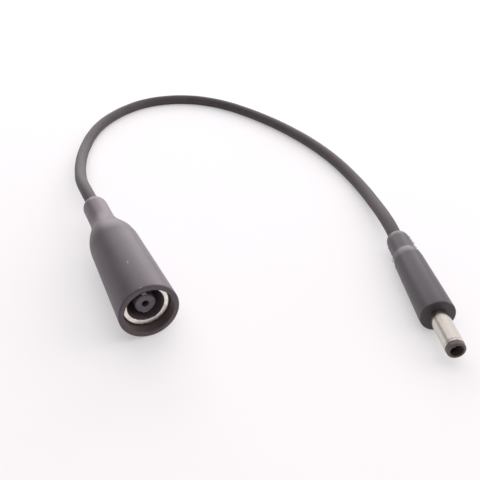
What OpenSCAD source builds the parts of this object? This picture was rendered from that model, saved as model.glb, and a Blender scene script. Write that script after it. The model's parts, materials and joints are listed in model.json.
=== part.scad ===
// Adapter cable: a barrel socket with a centre post, a cord, and a smaller barrel plug with a centre pin.
// Millimetres. The origin is the middle of the socket's mouth. The socket's axis is the Y axis, and -Y is
// the way out of the mouth. +Z is up. The cable lies on its side on a flat surface.

/* [Cord] */
// Diameter of the cord
cord_d = 3.6; // [3.4:0.1:3.9]
// Gap between the cord and the holes that it runs into
cord_gap = 0.05; // [0.02:0.01:0.1]
// Diameter of one insulated core
core_d = 1.1; // [0.9:0.05:1.15]
// Diameter of a core's bare strands
strand_d = 0.7; // [0.5:0.05:0.8]
// Distance of each core from the cord's axis
core_offset = 0.8; // [0.75:0.05:0.95]

/* [Socket housing] */
// Diameter of the housing at its mouth
socket_d = 14.2; // [13.6:0.1:16]
// Diameter of the housing where its shoulder starts
socket_rear_d = 12.9; // [12.4:0.1:14]
// Length of the straight body
socket_body_l = 27; // [25:0.5:30]
// Length of the shoulder
socket_shoulder_l = 15.5; // [14:0.5:18]
// Share of the shoulder that swells outwards before it flares into the neck
socket_swell = 0.52; // [0.4:0.02:0.8]
// Diameter of the neck
socket_neck_d = 6.8; // [6:0.1:8]
// Length of the neck in front of its rounded end
socket_neck_l = 6.4; // [5:0.1:9]
// Length of the neck's rounded end
socket_dome_l = 3; // [2:0.1:4]
// Diameter of the recess in the mouth
mouth_d = 11.6; // [11.2:0.1:12.4]
// Depth of the recess in the mouth
mouth_depth = 3; // [2:0.1:4]
// Corner between the recess's wall and its floor
mouth_corner = 0.3; // [0.1:0.05:0.35]
// Rounding of the housings' front edges
edge_round = 0.4; // [0.1:0.05:0.5]

/* [Socket contacts] */
// Inner diameter of the outer contact sleeve
sleeve_bore_d = 8.7; // [8.4:0.1:9]
// Wall of the sleeve
sleeve_wall = 0.4; // [0.3:0.05:0.5]
// Length of the sleeve behind its lip
sleeve_l = 12.5; // [11:0.5:14]
// Diameter of the sleeve's flared lip
lip_d = 10.8; // [10.4:0.1:11]
// Thickness of the flared lip
lip_t = 0.9; // [0.7:0.05:1.2]
// Rounding of the lip's outer edge
lip_round = 0.1; // [0.05:0.05:0.2]
// Rounding of the throat, where the lip turns into the sleeve
lip_throat = 0.2; // [0.15:0.05:0.4]
// Fall of the lip from its outer edge to its throat
lip_fall = 0.16; // [0.05:0.01:0.3]
// Height of the lip above the floor of the recess
lip_proud = 0.4; // [0.2:0.05:0.6]
// Diameter of the centre post
post_d = 4.9; // [4.6:0.1:5.2]
// Distance of the post's face behind the mouth
post_set_back = 3.1; // [2:0.1:4]
// Depth of the ring-shaped slot between post and sleeve, from the post's face
slot_depth = 10.9; // [9:0.1:11.5]
// Diameter of the sense hole in the post's face
sense_hole_d = 1.6; // [1.4:0.1:1.8]
// Length of the sense hole in front of its contact
sense_hole_l = 3.4; // [2:0.1:5]
// Outer diameter of the sense contact
sense_contact_d = 2.1; // [2:0.1:2.4]
// Bore of the sense contact
sense_bore_d = 1.1; // [0.8:0.1:1.2]
// Width of a spring leaf
leaf_w = 1.2; // [1:0.1:1.8]
// Thickness of the spring leaves
leaf_t = 0.25; // [0.15:0.05:0.35]
// Distance from the axis to the underside of a leaf at its root
leaf_root_r = 1.95; // [1.9:0.05:2.05]
// Height of a leaf's bow
leaf_bow = 0.75; // [0.5:0.05:0.9]
// Clearance round a leaf in its groove
leaf_gap = 0.1; // [0.05:0.05:0.2]

/* [Socket inside] */
// Diameter of the inner moulding
socket_mould_d = 10.8; // [10.4:0.1:11.4]
// Length of the inner moulding's straight part
socket_mould_l = 17; // [15:0.5:18]
// Length of the inner moulding's tapered tail
socket_tail_l = 10; // [8:0.5:11]
// Diameter of the tail's end
socket_tail_d = 5.2; // [4.6:0.1:5.4]
// How far the inner moulding runs over the sleeve
mould_grip = 3; // [2:0.5:5]

/* [Plug housing] */
// Diameter of the housing at its front
plug_d = 8.4; // [8:0.1:10]
// Diameter of the housing where its shoulder starts
plug_rear_d = 7.4; // [7.2:0.1:8.4]
// Length of the straight body
plug_body_l = 21; // [20:0.5:24]
// Length of the shoulder
plug_shoulder_l = 3.6; // [3:0.1:5]
// Share of the shoulder that swells outwards before it flares into the neck
plug_swell = 0.86; // [0.6:0.02:0.9]
// Diameter of the neck
plug_neck_d = 6.1; // [6:0.1:7]
// Length of the neck in front of its rounded end
plug_neck_l = 5.6; // [4:0.2:7]
// Length of the neck's rounded end
plug_dome_l = 2.6; // [2:0.1:3.4]

/* [Plug tip] */
// Diameter of the barrel
barrel_d = 4.5; // [4.4:0.05:4.6]
// Length of bare barrel in front of the housing
barrel_l = 10.1; // [9:0.1:10.4]
// Wall of the barrel
barrel_wall = 0.3; // [0.2:0.05:0.35]
// Distance of the turned groove from the barrel's front edge
groove_set_back = 0.4; // [0.3:0.05:0.8]
// Width of the turned groove
groove_w = 0.25; // [0.15:0.05:0.4]
// Depth of the turned groove
groove_t = 0.08; // [0.04:0.02:0.12]
// Diameter of the nose ring where it meets the barrel
nose_d = 4.4; // [4.2:0.05:4.45]
// Diameter of the nose ring at the tip
nose_front_d = 4.3; // [4.1:0.05:4.35]
// Length of the nose ring
nose_l = 1.3; // [1:0.1:1.8]
// Bore of the tip
tip_bore_d = 3; // [2.8:0.05:3.1]
// Depth of the bore
tip_bore_l = 9; // [7:0.1:11]
// Wall of the inner contact
inner_wall = 0.2; // [0.15:0.05:0.25]
// Distance of the inner contact behind the tip
inner_set_back = 1; // [0.5:0.1:1.5]
// Diameter of the centre pin
pin_d = 0.6; // [0.5:0.05:0.8]
// Distance of the pin's end behind the tip
pin_set_back = 1.2; // [0.5:0.1:2]

/* [Plug inside] */
// Diameter of the barrel inside the housing
barrel_root_d = 4.9; // [4.85:0.05:5.2]
// Length of barrel inside the housing
barrel_root_l = 7; // [6:0.1:8]
// Diameter of the barrel's retaining flange
flange_d = 5.8; // [5.4:0.1:6.4]
// Distance of the flange behind the housing's front
flange_set_back = 0.6; // [0.5:0.1:1]
// Thickness of the flange
flange_t = 1.2; // [0.8:0.1:1.4]
// Step between the ends of the nested contacts
contact_step = 0.75; // [0.5:0.05:1]
// Diameter of the inner moulding
plug_mould_d = 6.4; // [6.2:0.1:6.8]
// Distance of the inner moulding behind the housing's front
plug_mould_set_back = 4.5; // [4:0.1:5]
// Length of the inner moulding's straight part
plug_mould_l = 14.5; // [14:0.5:15.5]
// Length of the inner moulding's tapered tail
plug_tail_l = 6; // [4:0.5:7]
// Diameter of the tail's end
plug_tail_d = 4.8; // [4.4:0.1:5]

/* [Solder joints] */
// Width of the solder tabs
tab_w = 1.8; // [1.4:0.1:2]
// Length of the solder tabs
tab_l = 4; // [3.6:0.1:4.4]
// Diameter of a soldered joint
solder_d = 1.6; // [1.4:0.1:1.7]
// Length of a soldered joint
solder_l = 1.6; // [1.2:0.1:1.6]
// Distance from a tab's face to the middle of the strands
solder_rise = 0.5; // [0.45:0.05:0.6]
// Diameter of the joint between a core and a pin in line with it
butt_solder_d = 1.2; // [1:0.05:1.3]
// Length of bare strands
strip_l = 1.8; // [1.6:0.1:2]
// How deep the cord is held in each inner moulding
cord_grip = 3; // [2:0.5:4]

/* [Layout] */
// Place of the plug's front face to the right of the socket's mouth
plug_x = 60.2; // [58:0.1:62]
// Place of the plug's front face behind the socket's mouth
plug_y = -25.4; // [-27:0.1:-23]
// Angle between the plug's axis and the socket's
plug_splay = 19.2; // [17:0.1:22]

/* [Hidden] */
$fn = 64;
arc_steps = 10;
eps = 0.01;
cord_sides = 8;
core_sides = 8;

housing_grey = [0.27, 0.26, 0.27];
mould_grey = [0.75, 0.74, 0.7];
insulator_black = [0.11, 0.1, 0.11];
nickel = [0.82, 0.79, 0.74];
brass = [0.78, 0.62, 0.33];
solder_grey = [0.66, 0.67, 0.68];
power_red = [0.7, 0.12, 0.1];
ground_black = [0.08, 0.08, 0.08];
sense_white = [0.9, 0.9, 0.88];

// Heights along each connector's axis run back from the front face of its housing.
cord_hole_r = cord_d / 2 + cord_gap;
floor_z = -socket_d / 2;

sleeve_in_r = sleeve_bore_d / 2;
sleeve_out_r = sleeve_in_r + sleeve_wall;
lip_front = mouth_depth - lip_proud;
lip_back = lip_front + lip_t;
seat_gap = 0.05;
mouth_wall_back = lip_front - seat_gap;
sleeve_back = lip_back + sleeve_l;
base_front = post_set_back + slot_depth;
base_proud = 0.5;
base_back = sleeve_back + base_proud;
sense_contact_front = post_set_back + sense_hole_l;
leaf_front_wall = 0.25;
leaf_tip = post_set_back + leaf_front_wall + leaf_gap;
leaf_straight = 1.5;
leaf_sweep = 150;
leaf_root = base_front - leaf_straight;
leaf_seat = leaf_root_r - leaf_gap;
leaf_top_r = leaf_root_r + leaf_t;
ring_rim = 0.4;
ring_in_r = leaf_root_r - ring_rim;
ring_out_r = leaf_top_r + ring_rim;
ring_back = base_back + leaf_t;
socket_tab_back = ring_back + tab_l;
sense_tail_d = 1;
sense_tail_back = socket_tab_back;
mould_front = sleeve_back - mould_grip;
mould_back = mould_front + socket_mould_l;
socket_tail_back = mould_back + socket_tail_l;
socket_cord_end = socket_tail_back - cord_grip;
socket_l = socket_body_l + socket_shoulder_l + socket_neck_l + socket_dome_l;

barrel_out_r = barrel_d / 2;
barrel_in_r = barrel_out_r - barrel_wall;
barrel_root_r = barrel_root_d / 2;
inner_in_r = tip_bore_d / 2;
inner_out_r = inner_in_r + inner_wall;
tip = -barrel_l - nose_l;
flange_back = flange_set_back + flange_t;
nose_back = barrel_root_l + contact_step;
inner_back = nose_back + contact_step;
plug_tab_back = inner_back + tab_l;
pin_seat = tip + tip_bore_l;
pin_back = plug_tab_back;
plug_mould_back = plug_mould_set_back + plug_mould_l;
plug_tail_back = plug_mould_back + plug_tail_l;
plug_cord_end = plug_tail_back - cord_grip;
plug_l = plug_body_l + plug_shoulder_l + plug_neck_l + plug_dome_l;

// Each joint is [across, up, back]: the front end of a core's bare strands.
butt_gap = 0.1;
lead_straight = 1.5;
lead_steps = 6;
core_angles = [270, 150, 30];
socket_joints = [
    [0, -(sleeve_in_r - solder_rise), socket_tab_back - strip_l],
    [0, leaf_top_r + solder_rise, socket_tab_back - strip_l],
    [0, 0, sense_tail_back + butt_gap]
];
plug_joints = [
    [0, -(barrel_in_r - solder_rise), plug_tab_back - strip_l],
    [0, inner_out_r + solder_rise, plug_tab_back - strip_l],
    [0, 0, pin_back + butt_gap]
];

// The cord's route: across, back, and the height of its underside above the surface.
// Its two ends are worked out from the necks that it runs into.
cord_route = [
    [0, 61, 5],
    [0.4, 69, 3.9],
    [1.6, 77, 2.6],
    [3.4, 85.5, 1.4],
    [5.8, 94, 0.5],
    [9, 102.4, 0],
    [13.2, 110.6, 0],
    [18.4, 118, 0],
    [24.8, 124.2, 0],
    [32.2, 129, 0],
    [40.6, 131.8, 0],
    [49.4, 131.4, 0],
    [57.4, 128.2, 0],
    [64, 122.6, 0],
    [69.2, 115.4, 0],
    [73.2, 107.2, 0],
    [76.4, 98.6, 0],
    [79, 89.8, 0],
    [80.9, 80.8, 0],
    [82.2, 71.8, 0],
    [82.8, 62.8, 0],
    [82.7, 53.8, 0],
    [81.9, 44.8, 0],
    [80.4, 36, 0.3],
    [78.2, 27.4, 0.9]
];

// Rounded front edge of a revolved body
function edge(r, z) =
    [for (i = [0:arc_steps]) let (a = 90 * i / arc_steps)
        [r - edge_round * (1 - sin(a)), z + edge_round * (1 - cos(a))]];

// Shoulder that swells outwards over a share of its length, then flares into the neck
function shoulder(z, len, r_body, r_neck, swell) =
    let (
        turn = 2 * atan((r_body - r_neck) / len),
        swell_r = swell * len / sin(turn),
        flare_r = len / sin(turn) - swell_r
    )
    concat(
        [for (i = [0:arc_steps]) let (a = turn * i / arc_steps)
            [r_body - swell_r * (1 - cos(a)), z + swell_r * sin(a)]],
        [for (i = [1:arc_steps]) let (a = turn * (1 - i / arc_steps))
            [r_neck + flare_r * (1 - cos(a)), z + len - flare_r * sin(a)]]
    );

// Rounded end of a neck, down to the hole for the cord
function dome(z, len, r_neck, r_hole) =
    [for (i = [0:arc_steps]) let (a = 90 * i / arc_steps)
        [r_hole + (r_neck - r_hole) * cos(a), z + len * sin(a)]];

// A connector's parts are drawn with +Z back along its axis and +Y up.
module at_socket() rotate([90, 0, 180]) children();
module at_plug()
    translate([plug_x, plug_y, floor_z + plug_d / 2])
        rotate([0, 0, -plug_splay])
            rotate([90, 0, 180])
                children();

module tube(r_out, r_in, z0, z1)
    translate([0, 0, z0])
        difference() {
            cylinder(r = r_out, h = z1 - z0);
            translate([0, 0, -eps]) cylinder(r = r_in, h = z1 - z0 + 2 * eps);
        }

// Solder tab: a strip left standing at the end of a tube, above (side 1) or below (side -1) the axis
module tab(r_out, r_in, z0, z1, side)
    intersection() {
        tube(r_out, r_in, z0, z1);
        translate([-tab_w / 2, side > 0 ? 0 : -r_out, z0]) cube([tab_w, r_out, z1 - z0]);
    }

// Corners of a ring of the given number of sides, square to the path at its point i
function unit(v) = v / norm(v);
function ring(path, i, d, sides, sideways) =
    let (
        along = unit(path[min(i + 1, len(path) - 1)] - path[max(i - 1, 0)]),
        across = unit(cross(along, sideways)),
        up = cross(across, along)
    )
    [for (k = [0:sides - 1]) let (a = 360 * (k + 0.5) / sides)
        path[i] + d / 2 * (across * cos(a) + up * sin(a))];

// Tube swept along a path, which never runs in the direction called sideways
module sweep(path, d, sides, sideways) {
    rings = len(path);
    corners = [for (i = [0:rings - 1]) each ring(path, i, d, sides, sideways)];
    walls = [for (i = [0:rings - 2], k = [0:sides - 1])
        let (next = (k + 1) % sides, here = i * sides, ahead = here + sides)
        each [[here + k, here + next, ahead + next], [here + k, ahead + next, ahead + k]]];
    first_cap = [for (k = [1:sides]) sides - k];
    last_cap = [for (k = [0:sides - 1]) (rings - 1) * sides + k];
    polyhedron(corners, concat(walls, [first_cap, last_cap]), convexity = 10);
}

// Bare strands at the front end of a core
module strands(joint) translate(joint) cylinder(d = strand_d, h = strip_l + eps);

// Insulated core with an easy bend, from its joint to its place in the end of the cord
module lead(index, joint, cord_end) {
    core = [core_offset * cos(core_angles[index]), core_offset * sin(core_angles[index]), cord_end];
    strip = joint + [0, 0, strip_l];
    bend_start = strip + [0, 0, lead_straight];
    bend_end = core - [0, 0, lead_straight];
    bend = [for (i = [0:lead_steps]) let (t = i / lead_steps, ease = t * t * (3 - 2 * t))
        [for (axis = [0:2]) bend_start[axis] + (bend_end - bend_start)[axis] * (axis < 2 ? ease : t)]];
    strands(joint);
    sweep(concat([strip], bend, [core]), core_d, core_sides, [1, 0, 0]);
}

// Blob of solder round the strands of one core, before what it holds is taken out of it.
// The last core's strands meet a pin end to end.
module solder_blob(joints, index) {
    butt = index == 2;
    middle = joints[index] + [0, 0, butt ? -butt_gap / 2 : strip_l / 2];
    blob_r = (butt ? butt_solder_d : solder_d) / 2;
    translate(middle)
        rotate_extrude()
            polygon([for (i = [0:2 * arc_steps]) let (a = 90 * i / arc_steps)
                [blob_r * sin(a), -solder_l / 2 * cos(a)]]);
}

module socket_housing() color(housing_grey) at_socket() rotate_extrude() polygon(concat(
    [[mouth_d / 2, 0]],
    edge(socket_d / 2, 0),
    shoulder(socket_body_l, socket_shoulder_l, socket_rear_d / 2, socket_neck_d / 2, socket_swell),
    dome(socket_l - socket_dome_l, socket_dome_l, socket_neck_d / 2, cord_hole_r),
    [
        [cord_hole_r, socket_tail_back],
        [socket_tail_d / 2, socket_tail_back],
        [socket_mould_d / 2, mould_back],
        [socket_mould_d / 2, mould_front],
        [sleeve_out_r, mould_front],
        [sleeve_out_r, lip_back],
        [lip_d / 2, lip_back],
        [lip_d / 2, mouth_depth],
        [mouth_d / 2 - mouth_corner, mouth_depth],
        [mouth_d / 2, mouth_wall_back]
    ]
));

module socket_inner_mould() color(mould_grey) at_socket() difference() {
    rotate_extrude() polygon([
        [sleeve_out_r, mould_front],
        [socket_mould_d / 2, mould_front],
        [socket_mould_d / 2, mould_back],
        [socket_tail_d / 2, socket_tail_back],
        [cord_hole_r, socket_tail_back],
        [cord_hole_r, socket_cord_end],
        [0, socket_cord_end],
        [0, base_back],
        [sleeve_in_r, base_back],
        [sleeve_in_r, sleeve_back],
        [sleeve_out_r, sleeve_back]
    ]);
    sleeve_tab();
    leaf_ring();
    leaf_tail();
    sense_tail();
    for (i = [0:2]) {
        solder_blob(socket_joints, i);
        lead(i, socket_joints[i], socket_cord_end);
    }
}

module sleeve_tab() tab(sleeve_out_r, sleeve_in_r, sleeve_back, socket_tab_back, -1);

module socket_sleeve() color(nickel) at_socket() {
    throat_r = sleeve_in_r + lip_throat;
    throat_front = lip_front + lip_fall;
    rotate_extrude() polygon(concat(
        [
            [sleeve_in_r, sleeve_back],
            [sleeve_out_r, sleeve_back],
            [sleeve_out_r, lip_back],
            [lip_d / 2, lip_back]
        ],
        [for (i = [0:arc_steps]) let (a = 90 * i / arc_steps)
            [lip_d / 2 - lip_round * (1 - cos(a)), lip_front + lip_round * (1 - sin(a))]],
        [for (i = [0:arc_steps]) let (a = 90 * i / arc_steps)
            [throat_r - lip_throat * sin(a), throat_front + lip_throat * (1 - cos(a))]]
    ));
    sleeve_tab();
}

module socket_insulator() color(insulator_black) at_socket() difference() {
    rotate_extrude() polygon(concat(
        [[0, post_set_back]],
        edge(post_d / 2, post_set_back),
        [
            [post_d / 2, base_front],
            [sleeve_in_r, base_front],
            [sleeve_in_r, base_back],
            [0, base_back]
        ]
    ));
    translate([0, 0, post_set_back - eps]) cylinder(d = sense_hole_d, h = slot_depth);
    translate([0, 0, sense_contact_front]) cylinder(d = sense_contact_d, h = base_back);
    for (side = [0, 1]) mirror([0, side, 0]) {
        leaf_groove();
        leaf_strip(base_back + eps);
    }
}

// Groove along the post that a leaf lies in
module leaf_groove() {
    width = leaf_w + 2 * leaf_gap;
    translate([-width / 2, leaf_seat, leaf_tip - leaf_gap])
        cube([width, post_d, base_front - leaf_tip + leaf_gap]);
}

// One bowed leaf above the axis, from its tip near the post's face back to the height given
module leaf_strip(back) {
    bow = [for (i = [0:2 * arc_steps]) let (t = i / (2 * arc_steps))
        [leaf_tip + (leaf_root - leaf_tip) * t, leaf_root_r + leaf_bow * sin(leaf_sweep * (1 - t))]];
    under = concat(bow, [[back, leaf_root_r]]);
    count = len(under);
    over = [for (i = [1:count]) under[count - i] + [0, leaf_t]];
    rotate([0, -90, 0])
        linear_extrude(leaf_w, center = true)
            polygon(concat(under, over));
}

module leaf_ring() tube(ring_out_r, ring_in_r, base_back, ring_back);

module leaf_tail()
    translate([-leaf_w / 2, leaf_root_r, base_back])
        cube([leaf_w, leaf_t, socket_tab_back - base_back]);

module socket_inner_contact() color(brass) at_socket() {
    leaf_ring();
    leaf_tail();
    for (side = [0, 1]) mirror([0, side, 0]) leaf_strip(ring_back);
}

module sense_tail()
    translate([0, 0, base_back])
        cylinder(d = sense_tail_d, h = sense_tail_back - base_back);

module socket_sense_contact() color(brass) at_socket() {
    bore_l = (base_back - sense_contact_front) / 2;
    difference() {
        translate([0, 0, sense_contact_front])
            cylinder(d = sense_contact_d, h = base_back - sense_contact_front);
        translate([0, 0, sense_contact_front - eps]) cylinder(d = sense_bore_d, h = bore_l);
    }
    sense_tail();
}

module socket_ground_lead() color(ground_black) at_socket() lead(0, socket_joints[0], socket_cord_end);
module socket_power_lead() color(power_red) at_socket() lead(1, socket_joints[1], socket_cord_end);
module socket_sense_lead() color(sense_white) at_socket() lead(2, socket_joints[2], socket_cord_end);

module socket_solder() color(solder_grey) at_socket() difference() {
    union() {
        intersection() {
            solder_blob(socket_joints, 0);
            cylinder(r = sleeve_in_r, h = socket_l);
        }
        difference() {
            solder_blob(socket_joints, 1);
            translate([-leaf_w, 0, base_back]) cube([2 * leaf_w, leaf_top_r, socket_l]);
        }
        solder_blob(socket_joints, 2);
    }
    sense_tail();
    for (joint = socket_joints) strands(joint);
}

// The cord's path, from inside the socket's neck to inside the plug's
function plug_point(back) =
    [plug_x + back * sin(plug_splay), plug_y + back * cos(plug_splay), floor_z + plug_d / 2];
cord_path = concat(
    [for (y = [socket_cord_end, (socket_cord_end + socket_l) / 2, socket_l]) [0, y, 0]],
    [for (p = cord_route) [p.x, p.y, floor_z + cord_d / 2 + p.z]],
    [for (back = [plug_l + 2 * cord_d, plug_l, plug_cord_end]) plug_point(back)]
);

module cable_jacket() color(housing_grey) sweep(cord_path, cord_d, cord_sides, [0, 0, 1]);

module plug_housing() color(housing_grey) at_plug() rotate_extrude() polygon(concat(
    [[barrel_root_r, 0]],
    edge(plug_d / 2, 0),
    shoulder(plug_body_l, plug_shoulder_l, plug_rear_d / 2, plug_neck_d / 2, plug_swell),
    dome(plug_l - plug_dome_l, plug_dome_l, plug_neck_d / 2, cord_hole_r),
    [
        [cord_hole_r, plug_tail_back],
        [plug_tail_d / 2, plug_tail_back],
        [plug_mould_d / 2, plug_mould_back],
        [plug_mould_d / 2, plug_mould_set_back],
        [barrel_root_r, plug_mould_set_back],
        [barrel_root_r, flange_back],
        [flange_d / 2, flange_back],
        [flange_d / 2, flange_set_back],
        [barrel_root_r, flange_set_back]
    ]
));

module plug_inner_mould() color(mould_grey) at_plug() difference() {
    rotate_extrude() polygon([
        [barrel_root_r, plug_mould_set_back],
        [plug_mould_d / 2, plug_mould_set_back],
        [plug_mould_d / 2, plug_mould_back],
        [plug_tail_d / 2, plug_tail_back],
        [cord_hole_r, plug_tail_back],
        [cord_hole_r, plug_cord_end],
        [0, plug_cord_end],
        [0, inner_back],
        [inner_out_r, inner_back],
        [inner_out_r, nose_back],
        [barrel_in_r, nose_back],
        [barrel_in_r, barrel_root_l],
        [barrel_root_r, barrel_root_l]
    ]);
    barrel_tab();
    inner_tab();
    pin_body();
    for (i = [0:2]) {
        solder_blob(plug_joints, i);
        lead(i, plug_joints[i], plug_cord_end);
    }
}

module barrel_tab() tab(barrel_root_r, barrel_in_r, barrel_root_l, plug_tab_back, -1);
module inner_tab() tab(inner_out_r, inner_in_r, inner_back, plug_tab_back, 1);

module plug_barrel() color(nickel) at_plug() {
    front = -barrel_l;
    rotate_extrude() polygon([
        [barrel_in_r, front],
        [barrel_out_r, front],
        [barrel_out_r, front + groove_set_back],
        [barrel_out_r - groove_t, front + groove_set_back + groove_w / 2],
        [barrel_out_r, front + groove_set_back + groove_w],
        [barrel_out_r, 0],
        [barrel_root_r, 0],
        [barrel_root_r, flange_set_back],
        [flange_d / 2, flange_set_back],
        [flange_d / 2, flange_back],
        [barrel_root_r, flange_back],
        [barrel_root_r, barrel_root_l],
        [barrel_in_r, barrel_root_l]
    ]);
    barrel_tab();
}

module plug_nose_insulator() color(insulator_black) at_plug() rotate_extrude() polygon(concat(
    [[inner_in_r, tip]],
    edge(nose_front_d / 2, tip),
    [
        [nose_d / 2, -barrel_l],
        [barrel_in_r, -barrel_l],
        [barrel_in_r, nose_back],
        [inner_out_r, nose_back],
        [inner_out_r, tip + inner_set_back],
        [inner_in_r, tip + inner_set_back]
    ]
));

module plug_inner_contact() color(brass) at_plug() {
    tube(inner_out_r, inner_in_r, tip + inner_set_back, inner_back);
    inner_tab();
}

module plug_pin_insulator() color(insulator_black) at_plug() tube(inner_in_r, pin_d / 2, pin_seat, inner_back);

// The pin with its rounded end
module pin_body() {
    pin_tip = tip + pin_set_back;
    rotate_extrude() polygon(concat(
        [for (i = [0:arc_steps]) let (a = 90 * i / arc_steps)
            pin_d / 2 * [sin(a), 1 - cos(a)] + [0, pin_tip]],
        [[pin_d / 2, pin_back], [0, pin_back]]
    ));
}

module plug_sense_pin() color(brass) at_plug() pin_body();

module plug_ground_lead() color(ground_black) at_plug() lead(0, plug_joints[0], plug_cord_end);
module plug_power_lead() color(power_red) at_plug() lead(1, plug_joints[1], plug_cord_end);
module plug_sense_lead() color(sense_white) at_plug() lead(2, plug_joints[2], plug_cord_end);

module plug_solder() color(solder_grey) at_plug() difference() {
    union() {
        intersection() {
            solder_blob(plug_joints, 0);
            cylinder(r = barrel_in_r, h = plug_l);
        }
        difference() {
            solder_blob(plug_joints, 1);
            cylinder(r = inner_out_r, h = plug_l);
        }
        solder_blob(plug_joints, 2);
    }
    pin_body();
    for (joint = plug_joints) strands(joint);
}

socket_housing();
socket_inner_mould();
socket_sleeve();
socket_insulator();
socket_inner_contact();
socket_sense_contact();
socket_power_lead();
socket_ground_lead();
socket_sense_lead();
socket_solder();
cable_jacket();
plug_housing();
plug_inner_mould();
plug_barrel();
plug_nose_insulator();
plug_inner_contact();
plug_pin_insulator();
plug_sense_pin();
plug_power_lead();
plug_ground_lead();
plug_sense_lead();
plug_solder();
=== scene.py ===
# %% [markdown]
# # A DC tip adapter cable
#
# The cable is a thick moulded socket, a short round cord and a slim barrel plug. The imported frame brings
# the solids and their places. They could be shown as they are, but they are made for fit and physics, and
# a close view needs rounded edges, moulding marks and grain. So this lesson gives each piece that shows a
# finer mesh, gives every surface a procedural finish, and then sets out a pale table, soft light and a
# camera.

# %% Load the frame
import json
from math import atan2, cos, degrees, pi, radians, sin

import bmesh
import bpy
from mathutils import Matrix, Vector


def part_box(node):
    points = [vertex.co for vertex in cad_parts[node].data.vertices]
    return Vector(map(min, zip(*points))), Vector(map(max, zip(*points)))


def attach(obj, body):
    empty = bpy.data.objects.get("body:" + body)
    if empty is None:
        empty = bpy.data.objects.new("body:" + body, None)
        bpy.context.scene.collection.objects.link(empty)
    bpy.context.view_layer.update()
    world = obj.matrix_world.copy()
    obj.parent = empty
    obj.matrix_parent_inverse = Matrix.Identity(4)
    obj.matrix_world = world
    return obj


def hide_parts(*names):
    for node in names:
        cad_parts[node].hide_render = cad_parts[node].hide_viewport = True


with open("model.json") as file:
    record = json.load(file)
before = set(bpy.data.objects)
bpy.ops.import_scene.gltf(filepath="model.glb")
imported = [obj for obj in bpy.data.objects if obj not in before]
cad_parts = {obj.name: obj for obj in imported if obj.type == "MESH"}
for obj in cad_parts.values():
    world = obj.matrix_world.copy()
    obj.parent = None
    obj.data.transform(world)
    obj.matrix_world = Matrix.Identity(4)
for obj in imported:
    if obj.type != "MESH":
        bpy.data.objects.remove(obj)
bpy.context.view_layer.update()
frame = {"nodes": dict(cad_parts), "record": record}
print(f"loaded {len(frame['nodes'])} nodes")

# %% [markdown]
# ## Sizes
#
# A drawing of the connectors would be in millimetres, with every length measured back from the front
# face. The same is done here, and MM turns a length into Blender's metres. What the frame knows could be
# typed in again, but two copies of a number drift apart, so it is read: the mounts give the bores and the
# barrel, with the plug's place and direction, and a node's box gives its outside.

# %% Sizes that the frame gives
MM = 0.001
mounts = {mount["name"]: mount for mount in frame["record"]["mounts"]}
mouth_r = mounts["socket_mouth"]["dims"]["r_mm"]
mouth_wall_l = mounts["socket_mouth"]["dims"]["length_mm"]
sense_hole_r = mounts["sense_hole"]["dims"]["r_mm"]
barrel_r = mounts["barrel"]["dims"]["r_mm"]
barrel_l = mounts["barrel"]["dims"]["length_mm"]
plug_back = -Vector(mounts["barrel"]["axis"])
plug_front = Vector(mounts["barrel"]["pos_m"]) / MM + barrel_l / 2 * plug_back
plug_splay = degrees(atan2(plug_back.x, plug_back.y))
socket_low, socket_high = (Vector(corner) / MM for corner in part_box("socket_housing"))
socket_r, socket_l, floor_z = socket_high.z, socket_high.y, socket_low.z
print(f"socket {2 * socket_r:.1f} mm across and {socket_l:.1f} mm long")
print(f"plug turned by {plug_splay:.1f} degrees")

# %% [markdown]
# ## The camera
#
# A photograph of a small thing is taken from close by, and the near end then looks much larger than the
# far end. A long lens from far off would be easier to aim, but both ends would come out alike. So the
# camera stands at the true distance. The place, tilt and turn below are where the connectors' round
# mouths and the cord's width all come out right.

# %% Set up the camera
camera_place = Vector((-27.07, -108.1, 92.34))
camera_tilt = 56.3
camera_turn = -24.47
focal_length_px = 639.2
picture_px = 480

bpy.ops.object.select_all(action="DESELECT")
bpy.ops.object.camera_add(
    location=camera_place * MM, rotation=(radians(camera_tilt), 0, radians(camera_turn)))
camera = bpy.context.object
camera.name = "camera"
camera.data.lens = camera.data.sensor_width * focal_length_px / picture_px
camera.data.clip_start = 5 * MM
bpy.context.scene.camera = camera
print(f"lens {camera.data.lens:.1f} mm")

# %% [markdown]
# ## The cord
#
# A cord is a fixed length of something that bends, so it starts as a line. The points below are the same
# route that the solid follows: across, back, and the height of the cord's underside above the table. It
# leaves the socket's neck straight, comes down to the table, makes one wide bow and rises into the plug's
# neck. A tube could be extruded along the points, but it would kink at each of them. A Bezier curve with
# automatic handles passes through them all in one smooth line, and its bevel gives that line its
# thickness: the depth is 1, so each point's own radius is the cord's.

# %% Lay the cord
cord_r = 1.8
cord_steps = 8
cord_straight = 4 * cord_r
socket_cord_end = 37
plug_l = 32.8
plug_cord_end = 22

cord_route = [
    (0.0, 0.061, 0.005), (0.0004, 0.069, 0.0039), (0.0016, 0.077, 0.0026), (0.0034, 0.0855, 0.0014),
    (0.0058, 0.094, 0.0005), (0.009, 0.1024, 0), (0.0132, 0.1106, 0), (0.0184, 0.118, 0),
    (0.0248, 0.1242, 0), (0.0322, 0.129, 0), (0.0406, 0.1318, 0), (0.0494, 0.1314, 0),
    (0.0574, 0.1282, 0), (0.064, 0.1226, 0), (0.0692, 0.1154, 0), (0.0732, 0.1072, 0),
    (0.0764, 0.0986, 0), (0.079, 0.0898, 0), (0.0809, 0.0808, 0), (0.0822, 0.0718, 0),
    (0.0828, 0.0628, 0), (0.0827, 0.0538, 0), (0.0819, 0.0448, 0), (0.0804, 0.036, 0.0003),
    (0.0782, 0.0274, 0.0009)]

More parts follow.
